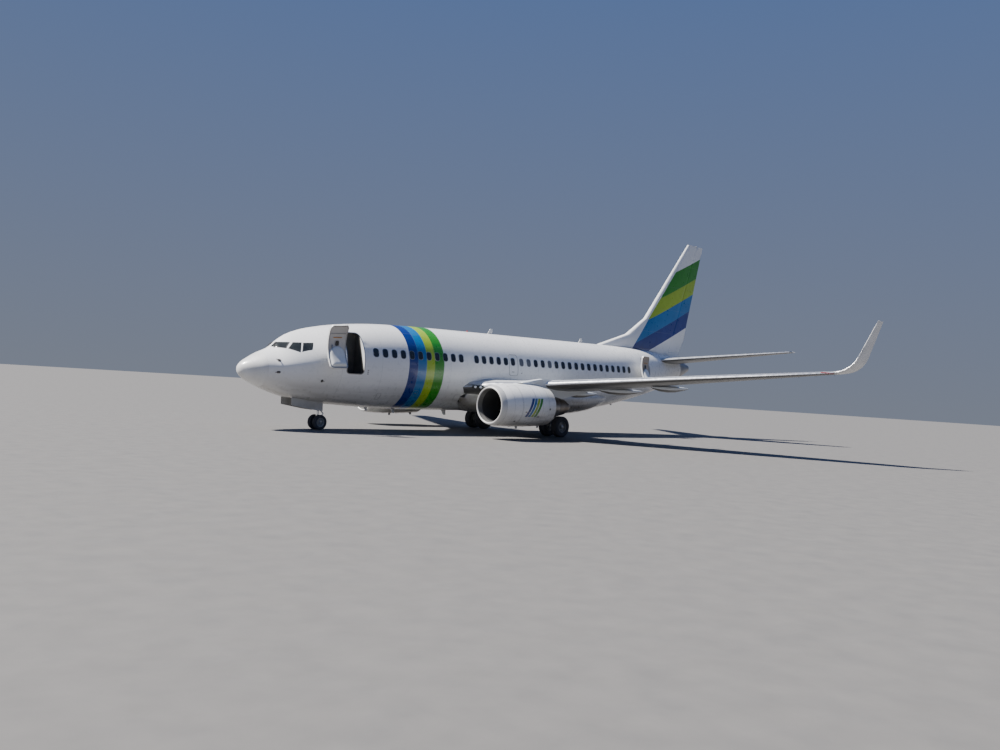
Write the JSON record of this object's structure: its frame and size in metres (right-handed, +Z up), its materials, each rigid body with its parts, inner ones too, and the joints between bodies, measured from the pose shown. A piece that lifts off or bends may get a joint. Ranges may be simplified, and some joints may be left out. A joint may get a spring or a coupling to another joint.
{
  "type": "twin-engine narrow-body airliner",
  "caption": "Twin-engine narrow-body airliner on its landing gear, with blended winglets, open left entry doors, steering nose wheels, turning fans and hinged control surfaces.",
  "frame": {"origin": "on the ground under the middle of the aircraft's box", "axes": "+X forward to the nose, +Y to port, +Z up"},
  "size_m": [33.5605, 35.7728, 12.5078],
  "materials": {
    "white_paint": "gloss",
    "grey_paint": "semi-gloss",
    "bare_metal": "polished",
    "hot_metal": "heat-stained",
    "fan_metal": "satin",
    "gear_paint": "gloss",
    "tyre_rubber": "matt",
    "pane_glass": "gloss"
  },
  "bodies": {
    "airframe": {"flight_deck_pane_front_left": "pane_glass", "flight_deck_pane_front_right": "pane_glass", "flight_deck_pane_middle_left": "pane_glass", "flight_deck_pane_middle_right": "pane_glass", "flight_deck_pane_side_left": "pane_glass", "flight_deck_pane_side_right": "pane_glass", "entry_door_forward_left": "white_paint", "entry_door_aft_left": "white_paint", "fuselage": "white_paint", "wing_body_fairing": "grey_paint", "radome": "white_paint", "tail_cone": "bare_metal", "nose_gear_door_left": "white_paint", "nose_gear_door_right": "white_paint", "flap_inboard_left": "white_paint", "flap_inboard_right": "white_paint", "flap_outboard_left": "white_paint", "flap_outboard_right": "white_paint", "wing_left": "grey_paint", "wing_right": "grey_paint", "winglet_left": "white_paint", "winglet_right": "white_paint", "flap_track_inner_left": "grey_paint", "flap_track_inner_right": "grey_paint", "flap_track_middle_left": "grey_paint", "flap_track_middle_right": "grey_paint", "flap_track_outer_left": "grey_paint", "flap_track_outer_right": "grey_paint", "stabiliser_left": "white_paint", "stabiliser_right": "white_paint", "fin": "white_paint", "fan_cowl_left": "fan_metal", "fan_cowl_right": "fan_metal", "duct_sleeve_left": "white_paint", "duct_sleeve_right": "white_paint", "inlet_lip_left": "bare_metal", "inlet_lip_right": "bare_metal", "engine_core_left": "hot_metal", "engine_core_right": "hot_metal", "pylon_left": "white_paint", "pylon_right": "white_paint", "nose_gear_leg": "gear_paint", "main_gear_leg_left": "gear_paint", "main_gear_leg_right": "gear_paint"},
    "rudder": {"rudder": "white_paint"},
    "elevator_left": {"elevator_left": "white_paint"},
    "elevator_right": {"elevator_right": "white_paint"},
    "aileron_left": {"aileron_left": "white_paint"},
    "aileron_right": {"aileron_right": "white_paint"},
    "fan_left": {"fan_left": "fan_metal"},
    "fan_right": {"fan_right": "fan_metal"},
    "nose_steering": {"nose_gear_fork": "gear_paint"},
    "nose_wheels": {"nose_wheels": "tyre_rubber"},
    "main_wheels_left": {"main_wheels_left": "tyre_rubber"},
    "main_wheels_right": {"main_wheels_right": "tyre_rubber"}
  },
  "joints": [
    {"name": "rudder_hinge", "type": "hinge", "parent": "airframe", "child": "rudder", "pos_m": [-13.41483, 0, 5.25706], "axis": [-0.3337, 0, 0.9427], "range_deg": [-26, 26]},
    {"name": "elevator_left_hinge", "type": "hinge", "parent": "airframe", "child": "elevator_left", "pos_m": [-13.81221, 1.18, 4.73518], "axis": [-0.4052, 0.9049, 0.1306], "range_deg": [-20, 20]},
    {"name": "elevator_right_hinge", "type": "hinge", "parent": "airframe", "child": "elevator_right", "pos_m": [-13.81221, -1.18, 4.73518], "axis": [-0.4052, -0.9049, 0.1306], "range_deg": [-20, 20]},
    {"name": "aileron_left_hinge", "type": "hinge", "parent": "airframe", "child": "aileron_left", "pos_m": [-2.3884, 12.65, 3.50392], "axis": [-0.3088, 0.9445, 0.1116], "range_deg": [-20, 20]},
    {"name": "aileron_right_hinge", "type": "hinge", "parent": "airframe", "child": "aileron_right", "pos_m": [-2.3884, -12.65, 3.50392], "axis": [-0.3088, -0.9445, 0.1116], "range_deg": [-20, 20]},
    {"name": "fan_left_spin", "type": "hinge", "parent": "airframe", "child": "fan_left", "pos_m": [5.44491, 4.83, 1.5514], "axis": [0.9999, 0, -0.0141], "continuous": true},
    {"name": "fan_right_spin", "type": "hinge", "parent": "airframe", "child": "fan_right", "pos_m": [5.44491, -4.83, 1.5514], "axis": [0.9999, 0, -0.0141], "continuous": true},
    {"name": "nose_steering", "type": "hinge", "parent": "airframe", "child": "nose_steering", "pos_m": [12.727, 0, 1.01], "axis": [0, 0, 1], "range_deg": [-78, 78]},
    {"name": "nose_wheels_spin", "type": "hinge", "parent": "nose_steering", "child": "nose_wheels", "pos_m": [12.727, 0, 0.335], "axis": [0, 1, 0], "continuous": true},
    {"name": "main_wheels_left_spin", "type": "hinge", "parent": "airframe", "child": "main_wheels_left", "pos_m": [0.187, 2.86, 0.535], "axis": [0, 1, 0], "continuous": true},
    {"name": "main_wheels_right_spin", "type": "hinge", "parent": "airframe", "child": "main_wheels_right", "pos_m": [0.187, -2.86, 0.535], "axis": [0, -1, 0], "continuous": true}
  ]
}
